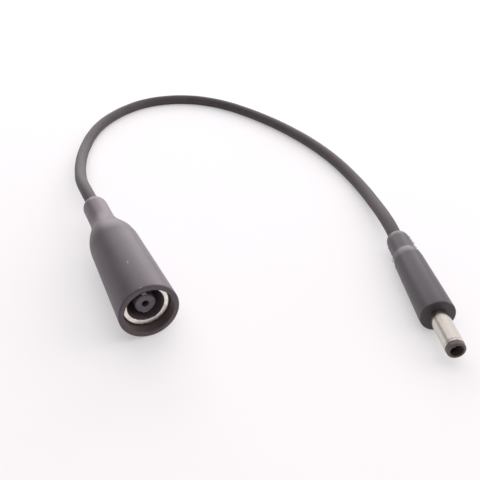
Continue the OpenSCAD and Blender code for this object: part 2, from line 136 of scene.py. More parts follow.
in_socket = (socket_cord_end, (socket_cord_end + socket_l) / 2, socket_l)
in_plug = (plug_l + cord_straight, plug_l, plug_cord_end)
cord_points = [Vector((0, back, 0)) * MM for back in in_socket]
cord_points += [Vector((x, y, lift + (floor_z + cord_r) * MM)) for x, y, lift in cord_route]
cord_points += [(plug_front + back * plug_back) * MM for back in in_plug]

bpy.ops.object.select_all(action="DESELECT")
bpy.ops.curve.primitive_bezier_curve_add()
cord = bpy.context.object
cord.name = "cord"
spline = cord.data.splines[0]
spline.bezier_points.add(len(cord_points) - len(spline.bezier_points))
for knot, point in zip(spline.bezier_points, cord_points):
    knot.co = point
    knot.radius = cord_r * MM
    knot.handle_left_type = knot.handle_right_type = "AUTO"
spline.resolution_u = cord_steps
cord.data.bevel_depth = 1
cord.data.bevel_resolution = cord_steps
cord.data.use_fill_caps = True
spline.use_smooth = True

cord_length = sum((ahead - here).length for here, ahead in zip(cord_points, cord_points[1:]))
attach(cord, "root")
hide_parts("cable_jacket")
print(f"cord {cord_length / MM:.0f} mm")

# %% [markdown]
# ## Turning on a lathe
#
# Almost every piece of a round connector is a turned shape: half of its section, swept once round the
# axis. Stacked cylinders could give its steps, but no flowing shoulder. In Blender a lathe is a line of
# vertices, extruded point by point, and then Spin. An outline here is a list of (radius, distance back)
# pairs. The seam where the spin closes and any point on the axis are merged, and the normals are then
# turned outwards.

# %% Draw a section
def arc(r, back, reach_r, reach_back, start, stop, steps=8):
    """Points of an arc about (r, back). 0 degrees points away from the axis, and 90 points back along it."""
    turns = [radians(start + (stop - start) * i / steps) for i in range(steps + 1)]
    return [(r + reach_r * cos(turn), back + reach_back * sin(turn)) for turn in turns]


def line(start, stop, steps):
    """Points along a straight stretch, which keep its shading apart from the curves at its ends."""
    return [tuple(Vector(start).lerp(Vector(stop), i / steps)) for i in range(steps + 1)]


print(f"a rounded edge has {len(arc(1, 1, 1, 1, 0, 90))} points")

# %% Turn a section
around = 96
merge_within = 1e-7
crisp_from = 32


def pick(*pieces):
    """Selects these pieces alone, and makes the last one active."""
    bpy.ops.object.select_all(action="DESELECT")
    for piece in pieces:
        piece.select_set(True)
        bpy.context.view_layer.objects.active = piece


def edit(piece, select="VERT"):
    """Opens a piece in edit mode with nothing selected."""
    pick(piece)
    bpy.ops.object.mode_set(mode="EDIT")
    bpy.ops.mesh.select_mode(type=select)
    bpy.ops.mesh.select_all(action="DESELECT")


def extrude_along(path):
    """Extrudes what is selected from point to point of a path."""
    for here, ahead in zip(path, path[1:]):
        bpy.ops.mesh.extrude_region_move(TRANSFORM_OT_translate={"value": ahead - here})


def face_outwards():
    """Turns all normals outwards and leaves edit mode."""
    bpy.ops.mesh.select_all(action="SELECT")
    bpy.ops.mesh.normals_make_consistent(inside=False)
    bpy.ops.object.mode_set(mode="OBJECT")


def smooth(piece):
    """Smooth shading that keeps the sharper edges crisp."""
    pick(piece)
    bpy.ops.object.shade_smooth_by_angle(angle=radians(crisp_from))


def turn_on_lathe(name, outline):
    """Spins a closed outline of (radius, distance back) pairs about the Y axis."""
    pick()
    bpy.ops.mesh.primitive_plane_add(size=MM)
    piece = bpy.context.object
    piece.name = name
    edit(piece)
    bpy.ops.mesh.select_all(action="SELECT")
    bpy.ops.mesh.merge(type="CENTER")
    loop = [Vector((r, back, 0)) * MM for r, back in outline + outline[:1]]
    bpy.ops.transform.translate(value=loop[0])
    extrude_along(loop)
    bpy.ops.mesh.select_all(action="SELECT")
    bpy.ops.mesh.spin(steps=around, angle=2 * pi, center=(0, 0, 0), axis=(0, 1, 0))
    bpy.ops.mesh.select_all(action="SELECT")
    bpy.ops.mesh.remove_doubles(threshold=merge_within)
    face_outwards()
    smooth(piece)
    return piece


print(f"{around} steps round the axis, {360 / around:.2f} degrees each")

# %% [markdown]
# ## The socket's housing
#
# Soft PVC is moulded round the finished contacts, so the housing is one skin: a body that narrows
# slightly towards the back, a long shoulder, a neck and a rounded end that hugs the cord. Its front is a
# flat ring round a shallow recess. The outline runs from the recess's edge over the outside to the cord's
# hole and back along the inside. The mould has two halves, and a fine ridge on each side shows where they
# met. A bump in the finish could draw it, but the mesh itself would lack it, so the edges there are
# bevelled, and the line in the middle of the bevel is pushed outwards. As the cable lies, the socket is
# rolled, so that one ridge runs along its upper right.

# %% Shape a moulding
ridge_half_w = 0.1
ridge_h = 0.06
on_line_within = 0.02


def shoulder(back, length, body_r, neck_r, swell):
    """Run from a body down to its neck: an arc that swells out, then one that flares into the neck."""
    turn = 2 * atan2(body_r - neck_r, length)
    swell_r = swell * length / sin(turn)
    flare_r = length / sin(turn) - swell_r
    swelling = arc(body_r - swell_r, back, swell_r, swell_r, 0, degrees(turn), steps=12)
    flare = arc(neck_r + flare_r, back + length, flare_r, flare_r, 180 + degrees(turn), 180, steps=12)
    return swelling + flare[1:]


def raise_parting_line(piece, outside):
    """Raises a fine ridge along both sides of a moulding, on the edges between the outside points."""
    def on_line(vert):
        if abs(vert.co.z) > merge_within:
            return False
        out, along = abs(vert.co.x) / MM, vert.co.y / MM
        return any(abs(out - r) < on_line_within and abs(along - back) < on_line_within
                   for r, back in outside)

    edit(piece, "EDGE")
    mesh = bmesh.from_edit_mesh(piece.data)
    for edge in mesh.edges:
        edge.select_set(all(on_line(vert) for vert in edge.verts))
    bmesh.update_edit_mesh(piece.data)
    bpy.ops.mesh.bevel(offset=ridge_half_w * MM, segments=2, affect="EDGES")
    bpy.ops.mesh.select_mode(type="VERT")
    bpy.ops.mesh.select_all(action="DESELECT")
    mesh = bmesh.from_edit_mesh(piece.data)
    for vert in mesh.verts:
        vert.select_set(on_line(vert))
    mesh.select_flush_mode()
    bmesh.update_edit_mesh(piece.data)
    bpy.ops.transform.shrink_fatten(value=ridge_h * MM)
    bpy.ops.object.mode_set(mode="OBJECT")
    smooth(piece)


print(f"ridge {2 * ridge_half_w:.1f} mm wide and {ridge_h:.2f} mm high")

# %% Put a piece in its place
def seat(piece, place):
    """Moves a piece that was made on the Y axis, and applies the move to its mesh."""
    piece.matrix_world = place
    pick(piece)
    bpy.ops.object.transform_apply(location=True, rotation=True, scale=True)


def roll(angle):
    """A roll about the Y axis. With a minus sign, what was on the right comes up towards the top."""
    return Matrix.Rotation(radians(angle), 4, "Y")


def stands_for(piece, node):
    """Puts a finished piece in the place of its CAD node."""
    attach(piece, "root")
    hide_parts(node)
    print(f"{piece.name}: {len(piece.data.polygons)} faces")


# %% Turn the socket's housing
edge_round = 0.4
rim_round = 0.15
run_in = 0.3
mouth_depth = 3
mouth_corner = 0.3
socket_rear_r = 6.45
socket_body_l = 27
socket_shoulder_l = 15.5
socket_swell = 0.52
socket_neck_r = 3.4
socket_dome_l = 3
cord_hole_r = 1.85
sleeve_out_r = 4.75
lip_r = 5.4
lip_back = 3.5
socket_mould_r = 5.4
socket_mould_front, socket_mould_back = 13, 30
socket_tail_r, socket_tail_back = 2.6, 40
socket_roll = -40

socket_outside = (
    line((socket_r, edge_round + run_in), (socket_rear_r, socket_body_l - run_in), 12)
    + shoulder(socket_body_l, socket_shoulder_l, socket_rear_r, socket_neck_r, socket_swell)
    + line((socket_neck_r, socket_body_l + socket_shoulder_l + run_in),
           (socket_neck_r, socket_l - socket_dome_l - run_in), 3))
socket_housing = turn_on_lathe(
    "socket_shell",
    arc(mouth_r + rim_round, rim_round, rim_round, rim_round, 180, 270, steps=4)
    + arc(socket_r - edge_round, edge_round, edge_round, edge_round, 270, 360)
    + socket_outside
    + arc(cord_hole_r, socket_l - socket_dome_l, socket_neck_r - cord_hole_r, socket_dome_l, 0, 90)
    + [(cord_hole_r, socket_tail_back), (socket_tail_r, socket_tail_back),
       (socket_mould_r, socket_mould_back), (socket_mould_r, socket_mould_front),
       (sleeve_out_r, socket_mould_front), (sleeve_out_r, lip_back), (lip_r, lip_back), (lip_r, mouth_depth)]
    + arc(mouth_r - mouth_corner, mouth_wall_l, mouth_corner, mouth_depth - mouth_wall_l, 90, 0, steps=4))
raise_parting_line(socket_housing, socket_outside)
seat(socket_housing, roll(socket_roll))
stands_for(socket_housing, "socket_housing")

# %% [markdown]
# ## The socket's outer contact
#
# The bright ring in the mouth is the flared lip of a thin nickel-plated sleeve. The sleeve lines the
# outside of the ring-shaped slot that the mating plug goes into, and the flare leads that plug in. A flat
# washer would look much the same from the side, but the flare's slight slope decides what the lip
# mirrors: mostly the pale table, and at the lower right the mouth's dark wall. A rounded edge, a straight
# run and a rounded throat give that section. A tab at the sleeve's rear takes a lead.

# %% Pull a solder tab
tab_half_w = 0.9
rear_within = 1e-3
rear_facing = 0.9


def pull_tab(piece, back, length, side):
    """Pulls a solder tab out of a tube's rear face, above (1) or below (-1) the axis."""
    edit(piece, "FACE")
    mesh = bmesh.from_edit_mesh(piece.data)
    for face in mesh.faces:
        middle = face.calc_center_median() / MM
        on_rear = abs(middle.y - back) < rear_within and abs(face.normal.y) > rear_facing
        face.select_set(on_rear and abs(middle.x) < tab_half_w and middle.z * side > 0)
    bmesh.update_edit_mesh(piece.data)
    bpy.ops.mesh.extrude_region_move(TRANSFORM_OT_translate={"value": (0, length * MM, 0)})
    bpy.ops.object.mode_set(mode="OBJECT")
    smooth(piece)
    print(f"{piece.name}: tab {length:.2f} mm long")


# %% Turn the sleeve
sleeve_in_r = 4.35
sleeve_back = 16
socket_tab_back = 20.75
lip_front = 2.6
lip_round = 0.1
lip_fall = 0.13
throat_round = 0.2
throat_r = sleeve_in_r + throat_round

socket_sleeve = turn_on_lathe(
    "socket_lip_sleeve",
    [(sleeve_in_r, sleeve_back), (sleeve_out_r, sleeve_back), (sleeve_out_r, lip_back), (lip_r, lip_back)]
    + arc(lip_r - lip_round, lip_front + lip_round, lip_round, lip_round, 0, -90, steps=6)
    + line((lip_r - lip_round, lip_front), (throat_r, lip_front + lip_fall), 8)[1:-1]
    + arc(throat_r, lip_front + lip_fall + throat_round, throat_round, throat_round, -90, -180))
pull_tab(socket_sleeve, sleeve_back, socket_tab_back - sleeve_back, -1)
stands_for(socket_sleeve, "socket_sleeve")

# %% [markdown]
# ## The post
#
# The black post in the middle is the insulator that keeps the contacts apart. It is a turned shape with a
# hole for the mating plug's centre pin, and it has two grooves along it for the spring leaves. A lathe
# can't turn a groove along the axis, so the grooves are cut with boxes and the Boolean modifier, as a
# milling cutter would.

# %% Mill a groove
def apply_modifier(piece, kind, **settings):
    """Adds a modifier with its settings, and applies it."""
    modifier = piece.modifiers.new(kind, kind)
    for key, value in settings.items():
        setattr(modifier, key, value)
    pick(piece)
    bpy.ops.object.modifier_apply(modifier=modifier.name)


def mill(piece, low, high):
    """Cuts a box, given by two corners in millimetres, out of a piece."""
    low, high = Vector(low) * MM, Vector(high) * MM
    pick()
    bpy.ops.mesh.primitive_cube_add(size=1, location=(low + high) / 2, scale=high - low)
    cutter = bpy.context.object
    bpy.ops.object.transform_apply(location=True, rotation=True, scale=True)
    apply_modifier(piece, "BOOLEAN", operation="DIFFERENCE", object=cutter)
    bpy.data.objects.remove(cutter)
    print(f"{piece.name}: groove {(high - low).y / MM:.1f} mm long")


# %% Turn the post and mill its grooves
post_r = 2.45
post_front = 3.1
post_edge = 0.4
short_run_in = 0.2
hole_chamfer = 0.12
base_front, base_back = 14, 16.5
sense_seat_r, sense_contact_front = 1.05, 6.5
leaf_half_w = 0.6
leaf_gap = 0.1
leaf_root_r = 1.95
leaf_tip = 3.45
groove_half_w = leaf_half_w + leaf_gap

socket_post = turn_on_lathe(
    "socket_post",
    [(sense_hole_r, post_front + hole_chamfer), (sense_hole_r + hole_chamfer, post_front)]
    + arc(post_r - post_edge, post_front + post_edge, post_edge, post_edge, 270, 360)
    + line((post_r, post_front + post_edge + short_run_in), (post_r, base_front), 3)
    + [(sleeve_in_r, base_front), (sleeve_in_r, base_back), (sense_seat_r, base_back),
       (sense_seat_r, sense_contact_front), (sense_hole_r, sense_contact_front)])
for side in (1, -1):
    bottom, top = sorted(side * depth for depth in (leaf_root_r - leaf_gap, 2 * post_r))
    mill(socket_post, (-groove_half_w, leaf_tip - leaf_gap, bottom), (groove_half_w, base_front, top))
smooth(socket_post)
stands_for(socket_post, "socket_insulator")

# %% [markdown]
# ## The spring leaves
#
# Two bowed, plated brass leaves lie in the grooves and press outwards on the inside of the mating plug. A
# bar could be bent with a modifier, but the bow is easier to hold to its size when it is drawn. So one
# leaf is a narrow strip: an edge as wide as the leaf is extruded along the bow, and Solidify gives it its
# thickness. The second leaf is made alike and turned half round. A flat ring behind the post joins the
# two, and a tail takes the lead.

# %% Bend a leaf
leaf_t = 0.25
leaf_edge = 0.04
leaf_bow = 0.75
leaf_root = base_front - 1.5
bow_turn = 150
bow_steps = 24

leaf_line = [
    (leaf_tip + (leaf_root - leaf_tip) * i / bow_steps,
     leaf_root_r + leaf_bow * sin(radians(bow_turn * (1 - i / bow_steps))))
    for i in range(bow_steps + 1)]


def bend_leaf(name, back):
    """One strip above the axis that follows the bow and then runs straight back to the distance given."""
    pick()
    bpy.ops.mesh.primitive_plane_add(size=2 * leaf_half_w * MM)
    leaf = bpy.context.object
    leaf.name = name
    edit(leaf, "EDGE")
    mesh = bmesh.from_edit_mesh(leaf.data)
    bmesh.ops.delete(mesh, geom=[vert for vert in mesh.verts if vert.co.y > 0], context="VERTS")
    for edge in mesh.edges:
        edge.select_set(True)
    bmesh.update_edit_mesh(leaf.data)
    path = [Vector((0, s, r)) * MM for s, r in leaf_line + [(back, leaf_root_r)]]
    bpy.ops.transform.translate(value=path[0] + Vector((0, leaf_half_w * MM, 0)))
    extrude_along(path)
    face_outwards()
    outwards = 1 if leaf.data.polygons[0].normal.z > 0 else -1
    apply_modifier(leaf, "SOLIDIFY", thickness=leaf_t * MM, offset=outwards)
    apply_modifier(leaf, "BEVEL", width=leaf_edge * MM, segments=2)
    return leaf


highest = max(r for s, r in leaf_line) + leaf_t
print(f"leaf bows out to {highest:.2f} mm, {highest - post_r:.2f} mm proud of the post")

# %% Join the leaves to their ring
ring_back = base_back + leaf_t
ring_margin = 0.4
ring_in_r, ring_out_r = leaf_root_r - ring_margin, leaf_root_r + leaf_t + ring_margin

spring_leaves = bend_leaf("spring_leaves", socket_tab_back)
low_leaf = bend_leaf("low_leaf", ring_back)
low_leaf.matrix_world = Matrix.Rotation(pi, 4, "Y")
leaf_ring = turn_on_lathe(
    "leaf_ring",
    [(ring_in_r, base_back), (ring_out_r, base_back), (ring_out_r, ring_back), (ring_in_r, ring_back)])
pick(leaf_ring, low_leaf, spring_leaves)
bpy.ops.object.join()
smooth(spring_leaves)
stands_for(spring_leaves, "socket_inner_contact")

# %% [markdown]
# ## The sense contact
#
# A small tube at the bottom of the post's hole meets the mating plug's centre pin. Its mouth is opened a
# little, so that the pin finds its way in. Little of it shows, but a hole that ends in nothing looks
# wrong from straight ahead, so it is turned like the rest.

# %% Turn the sense contact
sense_bore_r, sense_bore_back = 0.55, 11.5
sense_bore_cone = 0.3
sense_flare = 0.25
sense_tail_r = 0.5

sense_contact = turn_on_lathe(
    "sense_tube",
    [(0, sense_bore_back), (sense_bore_r, sense_bore_back - sense_bore_cone),
     (sense_bore_r, sense_contact_front + sense_flare), (sense_bore_r + sense_flare, sense_contact_front),
     (sense_seat_r, sense_contact_front), (sense_seat_r, base_back),
     (sense_tail_r, base_back), (sense_tail_r, socket_tab_back), (0, socket_tab_back)])
stands_for(sense_contact, "socket_sense_contact")

# %% [markdown]
# ## The plug's housing
#
# The plug's moulding is a smaller sister of the socket's: a slim body, a short round shoulder with a
# clear crease under it, and a neck. It could be turned about its own slanting axis, but every distance
# would then have to be worked out on the slant. So it is turned on the Y axis and moved to the plug's
# place afterwards. The cord's twist has rolled the plug a little, so its parting line stands higher on
# the right than on the left.

# %% Turn the plug's housing
plug_r = 4.2
plug_rear_r = 3.7
plug_body_l = 21
plug_shoulder_l = 3.6
plug_swell = 0.86
plug_neck_r = 3.05
plug_dome_l = 2.6
barrel_hole_r = barrel_r + 0.01
barrel_root_r = 2.45
flange_r, flange_front, flange_back = 2.9, 0.6, 1.8
plug_mould_r, plug_mould_front, plug_mould_back = 3.2, 4.5, 19
plug_tail_r, plug_tail_back = 2.4, 25
plug_roll = -27
skin = 0.12


def seat_on_plug(piece, angle=0):
    """Rolls a piece and moves it to the plug's place."""
    place = Matrix.Translation(plug_front * MM) @ Matrix.Rotation(radians(-plug_splay), 4, "Z")
    seat(piece, place @ roll(angle))


plug_outside = (
    line((plug_r, edge_round + run_in), (plug_rear_r, plug_body_l - run_in), 10)
    + shoulder(plug_body_l, plug_shoulder_l, plug_rear_r, plug_neck_r, plug_swell)
    + line((plug_neck_r, plug_body_l + plug_shoulder_l + short_run_in),
           (plug_neck_r, plug_l - plug_dome_l - short_run_in), 3))
plug_housing = turn_on_lathe(
    "plug_shell",
    [(barrel_hole_r, skin), (barrel_hole_r, 0)]
    + arc(plug_r - edge_round, edge_round, edge_round, edge_round, 270, 360)
    + plug_outside
    + arc(cord_hole_r, plug_l - plug_dome_l, plug_neck_r - cord_hole_r, plug_dome_l, 0, 90)
    + [(cord_hole_r, plug_tail_back), (plug_tail_r, plug_tail_back),
       (plug_mould_r, plug_mould_back), (plug_mould_r, plug_mould_front),
       (barrel_root_r, plug_mould_front), (barrel_root_r, flange_back), (flange_r, flange_back),
       (flange_r, flange_front), (barrel_root_r, flange_front), (barrel_root_r, skin)])
raise_parting_line(plug_housing, plug_outside)
seat_on_plug(plug_housing, plug_roll)
stands_for(plug_housing, "plug_housing")

# %% [markdown]
# ## Flash on the plug's neck
#
# Where the mould closes on the neck, a little PVC is squeezed out between its halves and stays as a thin,
# torn fin on each side. Noise could tear it, but the real tears are few and of different lengths, so
# their heights are written down. A fin is a narrow grid with one edge inside the neck. The points of its
# other edge are pulled out by the heights, and Solidify makes it as thick as a sheet of paper.

# %% Tear the flash
flash_t = 0.07
flash_root_r = plug_neck_r - 0.2
right_fin = (23.4, 31.2, (
    0.02, 0.3, 0.52, 0.55, 0.5, 0.28, 0.24, 0.3, 0.42, 0.4, 0.34, 0.36, 0.14, 0.1, 0.12, 0.22, 0.4,
    0.46, 0.44, 0.38, 0.2, 0.18, 0.3, 0.32, 0.28, 0.06, 0.04, 0.1, 0.24, 0.26, 0.2, 0.08, 0.02))
left_fin = (23.4, 30.4, (
    0.02, 0.4, 0.72, 0.8, 0.74, 0.5, 0.56, 0.6, 0.3, 0.06, 0.02, 0.04, 0.1, 0.22,
    0.24, 0.2, 0.06, 0.02, 0.03, 0.12, 0.18, 0.16, 0.05, 0.02, 0.08, 0.14, 0.1, 0.02))


def tear_fin(name, side, front, back, heights):
    """A thin fin on one side of the plug's neck, with its torn edge standing out by the heights."""
    tears = len(heights) - 1
    pick()
    bpy.ops.mesh.primitive_grid_add(x_subdivisions=1, y_subdivisions=tears, size=1)
    fin = bpy.context.object
    fin.name = name
    for vert in fin.data.vertices:
        share = vert.co.y + 0.5
        torn_r = plug_neck_r + heights[round(share * tears)]
        out = torn_r if vert.co.x > 0 else flash_root_r
        vert.co = Vector((side * out, front + (back - front) * share, 0)) * MM
    apply_modifier(fin, "SOLIDIFY", thickness=flash_t * MM, offset=0)
    edit(fin)
    face_outwards()
    return fin


plug_flash = tear_fin("plug_flash", 1, *right_fin)
left_flash = tear_fin("left_flash", -1, *left_fin)
pick(left_flash, plug_flash)
bpy.ops.object.join()
seat_on_plug(plug_flash, plug_roll)
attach(plug_flash, "root")
print(f"flash: {len(plug_flash.data.polygons)} faces")

# %% [markdown]
# ## The barrel
#
# The bright tube is the plug's outer contact. Its front edge is slightly rounded, and a fine groove runs
# round it just behind that edge. Inside the housing it steps up to a root with a flange, which the
# moulding grips, and it ends in a solder tab. A groove this fine could be painted, but on a mirror it
# shows by the way that it bends the light, so it is in the outline.

# %% Turn the barrel
barrel_front = -barrel_l
barrel_in_r = 1.95
barrel_edge = 0.12
groove_front, groove_w, groove_t = barrel_front + 0.4, 0.25, 0.08
groove_back = groove_front + groove_w
barrel_root_back = 7
plug_tab_back = 12.5

plug_barrel = turn_on_lathe(
    "plug_tube",
    [(barrel_in_r, barrel_front)]
    + arc(barrel_r - barrel_edge, barrel_front + barrel_edge, barrel_edge, barrel_edge, 270, 360, steps=5)
    + [(barrel_r, groove_front)]
    + arc(barrel_r, groove_front + groove_w / 2, groove_t, groove_w / 2, 260, 100, steps=6)
    + [(barrel_r, groove_back)]
    + line((barrel_r, groove_back + short_run_in), (barrel_r, skin), 6)
    + [(barrel_root_r, skin), (barrel_root_r, flange_front), (flange_r, flange_front),
       (flange_r, flange_back), (barrel_root_r, flange_back),
       (barrel_root_r, barrel_root_back), (barrel_in_r, barrel_root_back)])
pull_tab(plug_barrel, barrel_root_back, plug_tab_back - barrel_root_back, -1)
seat_on_plug(plug_barrel)
stands_for(plug_barrel, "plug_barrel")

# %% [markdown]
# ## The nose and what it holds
#
# The dark ring at the tip is the end of an insulating tube inside the barrel. A brass tube inside that is
# the inner contact, and a plug of insulation at the bottom of the bore holds the fine centre pin. One
# turned shape could stand for them all, but each has its own finish and comes apart on a bench, so there
# are four.

# %% Turn the nose and the inner contact
tip = barrel_front - 1.3
nose_r = 2.2
nose_front_r = 2.15
nose_edge = 0.4
bore_r = 1.5
bore_edge = 0.2
inner_out_r = 1.7
inner_front = tip + 1
inner_chamfer = 0.05
nose_back, inner_back = 7.75, 8.5

plug_nose = turn_on_lathe(
    "plug_nose",
    arc(bore_r + bore_edge, tip + bore_edge, bore_edge, bore_edge, 180, 270, steps=5)
    + arc(nose_front_r - nose_edge, tip + nose_edge, nose_edge, nose_edge, 270, 360)
    + [(nose_r, barrel_front), (barrel_in_r, barrel_front), (barrel_in_r, nose_back),
       (inner_out_r, nose_back), (inner_out_r, inner_front), (bore_r, inner_front)])
inner_contact = turn_on_lathe(
    "plug_inner_tube",
    [(bore_r, inner_front + inner_chamfer), (bore_r + inner_chamfer, inner_front),
     (inner_out_r, inner_front), (inner_out_r, inner_back), (bore_r, inner_back)])
pull_tab(inner_contact, inner_back, plug_tab_back - inner_back, 1)

# %% Turn the pin and its insulator
pin_r = 0.3
pin_tip = tip + 1.2
pin_seat = tip + 9
seat_chamfer = 0.1
seat_round = 0.2

pin_insulator = turn_on_lathe(
    "pin_seat",
    [(pin_r, pin_seat + seat_chamfer), (pin_r + seat_chamfer, pin_seat)]
    + arc(bore_r - seat_round, pin_seat + seat_round, seat_round, seat_round, 270, 360, steps=4)
    + [(bore_r, inner_back), (pin_r, inner_back)])
centre_pin = turn_on_lathe(
    "centre_pin",
    [(0, plug_tab_back)] + arc(0, pin_tip + pin_r, pin_r, pin_r, 270, 360) + [(pin_r, plug_tab_back)])
for piece, node, slot in ((plug_nose, "plug_nose_insulator", "insulator"),
                          (inner_contact, "plug_inner_contact", "brass"),
                          (pin_insulator, "plug_pin_insulator", "insulator"),
                          (centre_pin, "plug_sense_pin", "brass")):
    seat_on_plug(piece)
    stands_for(piece, node)

# %% [markdown]
# ## Writing finishes
#
# A procedural finish is a small calculation: noise and distances in, colour and roughness out. Wired by
# hand it soon becomes a tangle, so two small classes do the wiring. A Tap is one output of the node tree
# and can be added to, multiplied and so on in plain Python. A Finish is one material, and its add method
# makes any node from its type, its settings and the values or Taps of its sockets. Every pattern is laid
# along the axis of the connector that it is on, so on the plug a Mapping node first takes out the plug's
# place and turn.

# %% A tap on the nodes
class Tap:
    """One output socket of a finish, for use in Python arithmetic."""

    def __init__(self, finish, socket):
        self.finish, self.socket = finish, socket

    def math(self, operation, first, second):
        return self.finish.add("ShaderNodeMath", {"operation": operation}, {0: first, 1: second})

    def __add__(self, other):
        return self.math("ADD", self, other)

    def __sub__(self, other):
        return self.math("SUBTRACT", self, other)

    def __rsub__(self, other):
        return self.math("SUBTRACT", other, self)

    def __mul__(self, other):
        return self.math("MULTIPLY", self, other)

    __radd__, __rmul__ = __add__, __mul__


# %% The nodes of a finish
class Finish:
    """The nodes of one material, or of a world where one is given."""

    def __init__(self, name, on_plug=False, world=None):
        self.owner = world or bpy.data.materials.new(name)
        self.owner.use_nodes = True
        self.tree = self.owner.node_tree
        self.tree.nodes.clear()
        self.place = self.add("ShaderNodeTexCoord", output="Generated" if world else "Object")
        if on_plug:
            self.place = self.add(
                "ShaderNodeMapping", {"vector_type": "TEXTURE"},
                {"Vector": self.place, "Location": plug_front * MM,
                 "Rotation": (0, 0, radians(-plug_splay))})

    def add(self, kind, settings=None, sockets=None, output=None):
        """Adds a node: its settings first, then each socket's value or link. Returns the named output."""
        node = self.tree.nodes.new(kind)
        for key, value in (settings or {}).items():
            setattr(node, key, value)
        for key, value in (sockets or {}).items():
            socket = node.inputs[key] if isinstance(key, int) else next(
                s for s in node.inputs if s.name == key and s.enabled)
            if isinstance(value, Tap):
                self.tree.links.new(value.socket, socket)
            elif socket.type == "RGBA":
                socket.default_value = (*value, 1)
            else:
                socket.default_value = value
        shown = [s for s in node.outputs if s.enabled and output in (None, s.name)]
        return Tap(self, shown[0]) if shown else None

    def vector(self, operation, first, second=(0, 0, 0), output=None):
        """Maths on vectors, such as a length or a dot product."""
        return self.add("ShaderNodeVectorMath", {"operation": operation}, {0: first, 1: second}, output)

    def noise(self, scale, detail, stretch=None):
        """Noise from 0 to 1, with features about 1 / scale across. A stretch sets the scale of each axis."""
        place = self.vector("MULTIPLY", self.place, stretch) if stretch else self.place
        return self.add("ShaderNodeTexNoise", None, {"Vector": place, "Scale": scale, "Detail": detail})

    def step(self, value, low, high):
        """Smooth step from 0 at low to 1 at high. Swapped limits turn it round."""
        return self.add("ShaderNodeMapRange", {"interpolation_type": "SMOOTHSTEP"},
                        {"Value": value, "From Min": low, "From Max": high})

    def mix(self, mask, first, second):
        """The first colour where the mask is 0, and the second where it is 1."""
        return self.add("ShaderNodeMix", {"data_type": "RGBA"}, {"Factor": mask, "A": first, "B": second})

    def behind(self, front, back):
        """0 in front of one distance along the axis and 1 behind the other, in millimetres."""
        along = self.add("ShaderNodeSeparateXYZ", None, {"Vector": self.place}, output="Y")
        return self.step(along, front * MM, back * MM)

    def within(self, inner, outer):
        """1 nearer to the axis than one radius and 0 beyond the other, in millimetres."""
        across = self.vector("MULTIPLY", self.place, (1, 0, 1))
        radius = self.vector("LENGTH", across, output="Value")
        return self.step(radius, outer * MM, inner * MM)

    def seam(self, tilt, half_width):
        """1 on a tilted plane through the axis, and 0 at the half width in millimetres from it."""
        square_on = (sin(radians(tilt)), 0, cos(radians(tilt)))
        off = self.vector("DOT_PRODUCT", self.place, square_on, output="Value")
        return self.step(off * off, (half_width * MM) ** 2, 0)

    def near(self, point, reach):
        """1 at a point given in millimetres, falling to 0 at the reach."""
        away = self.vector("DISTANCE", self.place, Vector(point) * MM, output="Value")
        return self.step(away, reach * MM, 0)

    def bump(self, height, depth):
        """Normal for a surface with a relief of that depth, in millimetres."""
        return self.add("ShaderNodeBump", None, {"Strength": 0.6, "Distance": depth * MM, "Height": height})

    def shade(self, sockets):
        """Ends the finish with a Principled shader."""
        surface = self.add("ShaderNodeBsdfPrincipled", None, sockets)
        self.add("ShaderNodeOutputMaterial", None, {"Surface": surface})
        print(f"{self.owner.name}: {len(self.tree.nodes)} nodes")
        return self.owner


def wear(piece, material):
    """Gives a piece its finish."""
    piece.data.materials.clear()
    piece.data.materials.append(material)


# %% [markdown]
# ## Moulded PVC
#
# The housings and the cord are black PVC, but under a broad light it looks like a soft dark grey. One
# flat colour would do from far off. From close by, three things keep it from looking like computer
# plastic: clouds a few millimetres wide where the surface cooled unevenly, a very fine grain, and long
# faint rubs from handling that are a little paler and rougher. The necks and the crease under the plug's
# shoulder are painted paler as highlights, and the ridges of the parting lines are paler too, partly from
# rubbing and partly as a painted highlight. The socket has a small pale nick on top and another on its
# rim, and the wall of its mouth is browner than the skin outside.

# %% Mix the PVC
cloud_scale, grain_scale, speck_scale = 170, 4200, 1500
paler = 2.2
rub_share, speck_share, nick_share = 0.3, 0.35, 0.6
nick_colour = (0.42, 0.4, 0.41)
pvc_relief = 0.01
mouth_edge, mouth_end = 0.06, 0.3


def moulded_pvc(name, dark, light, roughness, rub_along, on_plug=False, highlight_zones=(), nicks=(), mouth=None,
                specular=0.5):
    """Soft black plastic. Each painted highlight is the mask of a part that is made paler, a nick is a point
    and a reach, and the mouth is a radius, a depth and a colour."""
    pvc = Finish(name, on_plug)
    clouds = pvc.step(pvc.noise(cloud_scale, 3), 0.3, 0.7)
    grain = pvc.noise(grain_scale, 2)
    rubs = pvc.step(pvc.noise(1, 4, rub_along), 0.58, 0.8)
    specks = pvc.step(pvc.noise(speck_scale, 1), 0.76, 0.82)
    pale = tuple(paler * part for part in light)
    colour = pvc.mix(clouds, dark, light)
    # Each of these masks paints a highlight: the colour there is made paler.
    for highlight_zone in highlight_zones:
        colour = pvc.mix(highlight_zone(pvc), colour, pale)
    colour = pvc.mix(rubs * rub_share, colour, pale)
    colour = pvc.mix(specks * speck_share, colour, pale)
    if mouth:
        wall_r, depth, brown = mouth
        inside = pvc.within(wall_r, wall_r + mouth_edge) * pvc.behind(depth + mouth_end, depth)
        colour = pvc.mix(inside, colour, brown)
    if nicks:
        ragged = pvc.step(pvc.noise(grain_scale, 3), 0.35, 0.65)
    for point, reach in nicks:
        nick = pvc.step(pvc.near(point, reach) * (ragged + 0.25), 0.3, 0.6)
        colour = pvc.mix(nick * nick_share, colour, nick_colour)
    return pvc.shade({
        "Base Color": colour,
        "Roughness": roughness + 0.1 * (grain - 0.5) + 0.06 * clouds + 0.1 * rubs,
        "Specular IOR Level": specular,
        "Normal": pvc.bump(grain + clouds, pvc_relief)})


